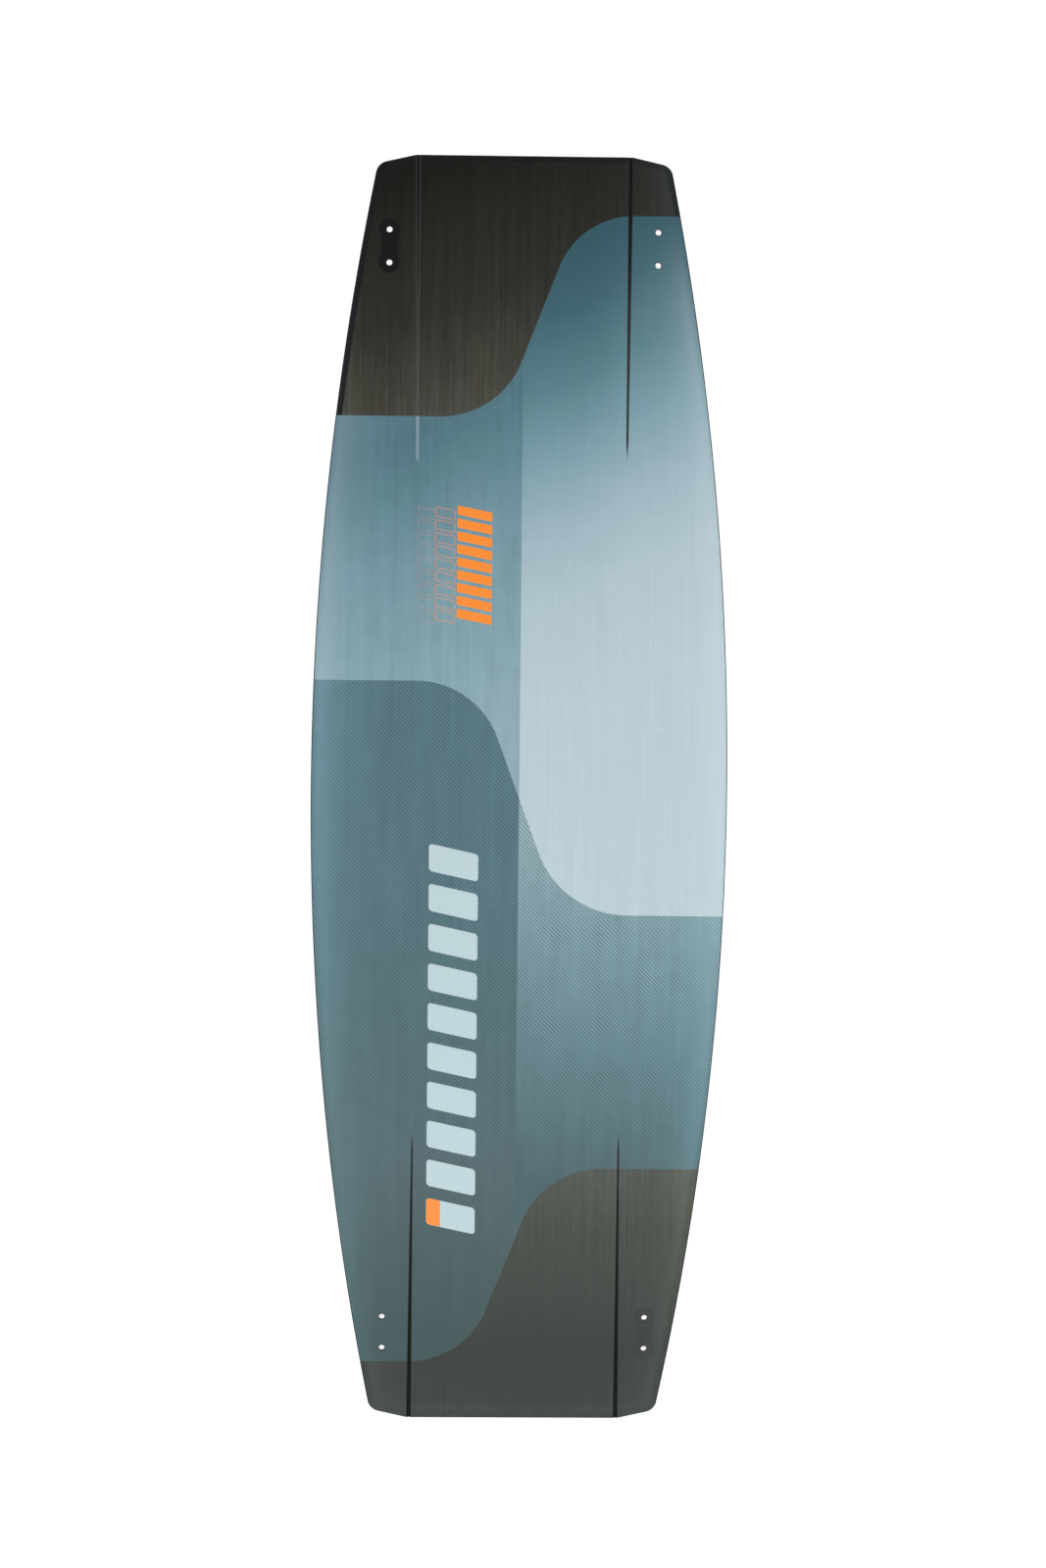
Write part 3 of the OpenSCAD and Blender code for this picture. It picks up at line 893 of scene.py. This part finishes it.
def base_print(x, y, z):
    """Printed sheet of the running base: fades between S-curves, and see-through dark tips."""
    right = x.passage(-CRISP, CRISP)
    tip_a = y.passage(-CRISP, CRISP)
    is_upper = (y - s_curve(x, *MIDDLE_CURVE)).passage(-CRISP, CRISP)
    clear = (y - s_curve(x, *TIP_A_CURVE)).highest(s_curve(x, *TIP_B_CURVE) - y)
    on_wood = clear.passage(-CRISP, CRISP)
    gap = rail_distance(x, y)

    streaks = noise(x, y, z, 3 * MM, 260 * MM, 1, 4, 0.7) - 0.5
    stains = noise(x, y, z, 24 * MM, 32 * MM, 1, 5, 0.7) - 0.5
    waves = noise(x, y, z, 12 * MM, 150 * MM, 1, 1) - 0.5
    weft = noise(x, y, z, 60 * MM, 1.1 * MM, 1, 1) - 0.5
    cloth = twill(x, y)
    cloth_share = noise(x, y, z, 45 * MM, 60 * MM, 1, 2).passage(0.25, 0.6) * 0.5 + 0.5
    cloth_share = cloth_share * is_upper.inverse() * y.passage(-600 * MM, -330 * MM)
    even = is_upper * right
    tone = streaks * (even * -0.1 + 0.3) + (stains + waves * 0.8) * (even * -0.22 + 0.3)
    tone = tone + weft * 0.1 + (cloth - 0.38) * cloth_share * 0.9 + 1

    ground = ground_fades(x, y, right, is_upper).shaded(tone)
    ground = ground.mixed(WARM_TINT, stains.passage(0, 0.25) * 0.12, "MULTIPLY")
    ground = printed_marks(ground, x, y)
    wood, grain = seen_inside(x, y, tip_a, gap, stains * 0.3 + weft * 0.2)
    colour = ground.mixed(wood, on_wood)
    # Painted sheen along the edges
    colour = painted_edge_sheen(colour, x, y, gap, right, tip_a, is_upper, on_wood)
    # Painted shade in the grooves and a painted highlight on one of them
    colour = painted_groove_shade_and_glint(colour, x, y, tip_a * right.inverse(), on_wood)
    hole = fin_distance(x, y).passage(FIN_HOLE_RADIUS + 1.2 * MM, FIN_HOLE_RADIUS + 0.4 * MM)
    colour = colour.mixed(BLOCK_DARK, hole * 0.7)
    colour = colour.mixed(RAIL_DARK, gap.passage(1.3 * MM, 0.8 * MM))

    scratches = noise(x, y, z, 0.7 * MM, 90 * MM, 1, 2, 0.6)
    edge_wear = noise(x, y, z, 6 * MM, 22 * MM, 1, 3) * gap.passage(12 * MM, 1 * MM)
    roughness = scratches * 0.12 + edge_wear * 0.2 + 0.36
    height = cloth * cloth_share * 0.6 + scratches * 0.25 + grain * 0.15
    return colour, roughness, height, 0.05 * MM


DECK_FADE = [
    (-700 * MM, picked(28, 34, 38)), (-380 * MM, picked(38, 50, 58)),
    (0, picked(74, 98, 108)), (380 * MM, picked(38, 50, 58)),
    (700 * MM, picked(28, 34, 38)),
]


def deck_film(x, y, z):
    """Satin deck sheet: the base's colours, darker, with dark ground towards the tips."""
    fade = y.gradient(DECK_FADE)
    tips = (y - s_curve(x, *DECK_CURVE_A)).highest(s_curve(x, *DECK_CURVE_B) - y)
    colour = fade.mixed(picked(30, 34, 35), tips.passage(-CRISP, CRISP))
    line = (abs(tips + 7 * MM) - 1.2 * MM).passage(CRISP, -CRISP)
    colour = colour.mixed(PALE_MARK, line * 0.5)
    across = (abs(abs(x) - PAD_X) - 22 * MM).highest(abs(abs(y) - PAD_Y) - 52 * MM)
    tick = abs((abs(y) - PAD_Y).wrapped(25.4 * MM))
    beside = abs(abs(abs(x) - PAD_X) - 14 * MM) - 3 * MM
    ticks = tick.passage(0.9 * MM, 0.4 * MM) * beside.passage(CRISP, -CRISP)
    colour = colour.mixed(PALE_MARK, ticks * across.passage(CRISP, -CRISP) * 0.6)
    colour = colour.mixed(ORANGE_MARK, slanted_bars(x, y, *DECK_BARS).passage(CRISP, -CRISP))

    grain, pores, seam, _ = wood_grain(x, y)
    cloth = twill(x, y)
    tone = (grain - 0.5) * 0.4 + (cloth - 0.45) * 0.12 + 1 - pores * 0.1 - seam * 0.1
    colour = colour.shaded(tone)
    gap = rail_distance(x, y)
    colour = colour.mixed(RAIL_DARK, gap.passage(RAIL_WIDTH + CRISP, RAIL_WIDTH - CRISP) * 0.85)
    scuffs = noise(x, y, z, 2 * MM, 14 * MM, 1, 4, 0.7)
    roughness = scuffs * 0.2 + 0.34
    return colour, roughness, cloth * 0.6 + scuffs * 0.4, 0.05 * MM


def glass_laminate(x, y, z):
    """Resin-filled glass cloth, seen as thin lines at the board's edge and in its holes."""
    tow = 1.2 * MM
    weave = x.sine(tow) * y.sine(tow) * 0.5 + 0.5
    cloud = noise(x, y, z, 8 * MM, 8 * MM, 2 * MM, 3)
    tint = cloud.gradient([(0.3, picked(88, 98, 95)), (0.7, picked(122, 131, 124))])
    colour = tint.shaded(weave * 0.16 + 0.9)
    return colour, cloud * 0.2 + 0.3, weave, 0.03 * MM


def rail_plastic(x, y, z):
    """Milled black-blue rail: fine cutter marks along it and dull scuffs."""
    cutter = noise(x, y, z, 30 * MM, 30 * MM, 0.25 * MM, 2, 0.6)
    scuffs = noise(x, y, z, 4 * MM, 9 * MM, 2 * MM, 4, 0.65).passage(0.55, 0.75)
    tint = cutter.gradient([(0.3, picked(17, 21, 28)), (0.7, picked(30, 36, 45))])
    colour = tint.mixed(picked(70, 76, 84), scuffs * 0.25)
    return colour, cutter * 0.2 + scuffs * 0.2 + 0.35, cutter * 0.5 + scuffs * 0.5, 0.04 * MM


def block_plastic(x, y, z):
    """Moulded filled plastic of the blocks, with flow marks and a fine grain."""
    flow = noise(x, y, z, 6 * MM, 18 * MM, 3 * MM, 3, 0.55)
    speckle = noise(x, y, z, 0.4 * MM, 0.4 * MM, 0.4 * MM, 2, 0.6)
    tint = flow.gradient([(0.3, picked(22, 25, 26)), (0.7, picked(42, 46, 48))])
    return tint.shaded(speckle * 0.3 + 0.85), flow * 0.2 + 0.5, speckle, 0.05 * MM


def core_wood(x, y, z):
    """Light paulownia strips with lengthwise grain, pores and glue seams."""
    grain, pores, seam, _ = wood_grain(x, y)
    rings = noise(x, y, z, 3 * MM, 300 * MM, 2 * MM, 3, 0.5)
    mixed = grain * 0.6 + rings * 0.4
    tint = mixed.gradient([
        (0.3, picked(150, 118, 82)), (0.5, picked(190, 158, 118)), (0.7, picked(214, 188, 150)),
    ])
    tone = pores * -0.25 - seam * 0.3 + 1
    return tint.shaded(tone), grain * 0.2 + 0.6, grain - pores * 0.5, 0.08 * MM


def insert_steel(x, y, z):
    """Turned stainless steel: rings round each insert's own middle."""
    cell_x = abs(abs(x) - PAD_X / 2) - PAD_X / 2
    turning = noise(cell_x, y, z, 6 * MM, 6 * MM, 0.15 * MM, 2, 0.6)
    tint = turning.gradient([(0.3, picked(150, 152, 154)), (0.7, picked(205, 207, 208))])
    return tint, turning * 0.2 + 0.22, turning, 0.02 * MM


MATERIALS = {
    "base_print": finish_surface("base_print", base_print, Specular_IOR_Level=0.3),
    "deck_film": finish_surface("deck_film", deck_film, Specular_IOR_Level=0.45),
    "glass_laminate": finish_surface("glass_laminate", glass_laminate, Specular_IOR_Level=0.5),
    "core_wood": finish_surface("core_wood", core_wood, Specular_IOR_Level=0.3),
    "rail_plastic": finish_surface("rail_plastic", rail_plastic, Specular_IOR_Level=0.4),
    "block_plastic": finish_surface("block_plastic", block_plastic, Specular_IOR_Level=0.4),
    "insert_steel": finish_surface("insert_steel", insert_steel, Metallic=1.0),
}

# ---------------------------------------------------------------- the board

SHARES = (0, 0.12, 0.3, 0.5, 0.75, 1)


def edge_profile(radius, depth, thickness):
    """Profile of a sheet whose upper face lies a depth below a rounded edge's face."""
    return [(rounding(radius, depth + thickness * share), share) for share in SHARES]


def flipped(profile):
    return [(inset, 1 - share) for inset, share in reversed(profile)]


STRAIGHT = [(0, 0), (0, 1)]


def chamfered(thickness):
    share = min(0.9, HOLE_CHAMFER / thickness)
    return [(HOLE_CHAMFER, 0), (0, share), (0, 1)]


fin_bores = [(x, y, FIN_HOLE_RADIUS) for x, y in FIN_HOLES]
insert_bores = [(x, y, INSERT_BARREL_RADIUS) for x, y in PAD_POINTS + HANDLE_POINTS]
base_plan = plan_mesh(fin_bores, True)
deck_plan = plan_mesh(fin_bores + insert_bores, False)

plate(
    "base_sheet", base_plan, fin_bores, under_base(0), under_base(BASE_SHEET),
    edge_profile(BASE_EDGE_RADIUS, 0, BASE_SHEET), chamfered(BASE_SHEET),
    MATERIALS["base_print"],
)
plate(
    "base_laminate", base_plan, fin_bores,
    under_base(BASE_SHEET), under_base(BASE_SHEET + BASE_LAMINATE),
    edge_profile(BASE_EDGE_RADIUS, BASE_SHEET, BASE_LAMINATE), STRAIGHT,
    MATERIALS["glass_laminate"],
)
plate(
    "deck_laminate", deck_plan, fin_bores + insert_bores,
    over_deck(DECK_SHEET + DECK_LAMINATE), over_deck(DECK_SHEET),
    flipped(edge_profile(DECK_EDGE_RADIUS, DECK_SHEET, DECK_LAMINATE)), STRAIGHT,
    MATERIALS["glass_laminate"],
)
plate(
    "deck_sheet", deck_plan, fin_bores + insert_bores, over_deck(DECK_SHEET), over_deck(0),
    flipped(edge_profile(DECK_EDGE_RADIUS, 0, DECK_SHEET)), flipped(chamfered(DECK_SHEET)),
    MATERIALS["deck_film"],
)

inserts("pad_inserts", PAD_POINTS, MATERIALS["insert_steel"])
inserts("handle_inserts", HANDLE_POINTS, MATERIALS["insert_steel"])

# The outline runs once round the board from the middle of the right side
QUARTER = len(OUTLINE) // 4
ROUND = list(range(len(OUTLINE)))
rail("rail_right", ROUND[-SIDE_STEPS:] + ROUND[: SIDE_STEPS + 1])
rail("rail_tip_a", ROUND[SIDE_STEPS : 2 * QUARTER - SIDE_STEPS + 1])
rail("rail_left", ROUND[2 * QUARTER - SIDE_STEPS : 2 * QUARTER + SIDE_STEPS + 1])
rail("rail_tip_b", ROUND[2 * QUARTER + SIDE_STEPS : 4 * QUARTER - SIDE_STEPS + 1])

# The CAD nodes that stay keep their shape and get a better material
for subpart in frame["record"]["subparts"]:
    node = frame["nodes"][subpart["node"]]
    for slot in node.material_slots:
        slot.material = MATERIALS[subpart["material_slot"]]

# ---------------------------------------------------------------- floor, light and camera

FLOOR_REACH = 90
FLOOR_GREY = 0.25
FLOOR_GLOW = 0.93
WORLD_LIGHT = 0.12


def studio_floor():
    corners = [(-FLOOR_REACH, -FLOOR_REACH, 0), (FLOOR_REACH, -FLOOR_REACH, 0)]
    corners += [(FLOOR_REACH, FLOOR_REACH, 0), (-FLOOR_REACH, FLOOR_REACH, 0)]
    mesh = bpy.data.meshes.new("floor")
    mesh.from_pydata(corners, [], [(0, 1, 2, 3)])
    floor = bpy.data.objects.new("floor", mesh)
    bpy.context.scene.collection.objects.link(floor)
    material = bpy.data.materials.new("floor")
    material.use_nodes = True
    shader = material.node_tree.nodes["Principled BSDF"]
    shader.inputs["Base Color"].default_value = (FLOOR_GREY, FLOOR_GREY, FLOOR_GREY, 1)
    shader.inputs["Roughness"].default_value = 1
    shader.inputs["Specular IOR Level"].default_value = 0
    shader.inputs["Emission Color"].default_value = (1, 1, 1, 1)
    shader.inputs["Emission Strength"].default_value = FLOOR_GLOW
    mesh.materials.append(material)


def softbox(name, place, size_x, size_y, power, tint=(1, 1, 1)):
    """A soft lamp that faces the middle of the board."""
    lamp = bpy.data.lights.new(name, "AREA")
    lamp.color = tint
    lamp.shape = "RECTANGLE"
    lamp.size = size_x
    lamp.size_y = size_y
    lamp.energy = power
    box = bpy.data.objects.new(name, lamp)
    box.location = place
    box.rotation_euler = (-Vector(place)).to_track_quat("-Z", "Y").to_euler()
    box.visible_camera = False
    bpy.context.scene.collection.objects.link(box)


def studio_world():
    """White to the camera, and dimmer as a source of light, so that dark plastic stays dark."""
    world = bpy.data.worlds.new("studio")
    world.use_nodes = True
    tree = world.node_tree
    background = tree.nodes["Background"]
    seen = tree.nodes.new("ShaderNodeLightPath")
    background.inputs["Color"].default_value = (1, 1, 1, 1)
    amount = Field(tree, seen.outputs["Is Camera Ray"]) * (1 - WORLD_LIGHT) + WORLD_LIGHT
    feed(tree, background.inputs["Strength"], amount)
    bpy.context.scene.world = world


studio_floor()
studio_world()
softbox("soft_left", (-2.6, 0.3, 2.6), 1.6, 3.2, 70)
softbox("soft_right", (2.6, 0.3, 2.6), 1.6, 3.2, 70)
softbox("soft_low", (0, -2.3, 3.4), 3.0, 1.2, 66, (0.9, 1.0, 1.04))

# The camera looks down on the base from nearly straight above; its lens is in millimetres
CAMERA_SENSOR = 36
CAMERA_LENS = 76.43
CAMERA_ROLL = math.radians(-0.6)
CAMERA_TILT = math.radians(4.506)
CAMERA_TURN = math.radians(1.411)
CAMERA_AIM = Vector((4.3 * MM, 16.9 * MM, 5.2 * HALF_LENGTH))
camera = bpy.data.cameras.new("camera")
camera.sensor_width = CAMERA_SENSOR
camera.lens = CAMERA_LENS
camera_object = bpy.data.objects.new("camera", camera)
bpy.context.scene.collection.objects.link(camera_object)
bpy.context.scene.camera = camera_object
board_to_view = (
    Euler((0, 0, CAMERA_ROLL)).to_matrix()
    @ Euler((CAMERA_TILT, 0, 0)).to_matrix()
    @ Euler((0, CAMERA_TURN, 0)).to_matrix()
)
view_to_board = board_to_view.transposed()
pivot = Vector((0, 0, base_height(0, 0)))
camera_object.location = pivot + view_to_board @ CAMERA_AIM
camera_object.rotation_euler = view_to_board.to_euler()

bpy.context.scene.view_settings.view_transform = "Standard"
bpy.context.scene.view_settings.look = "None"
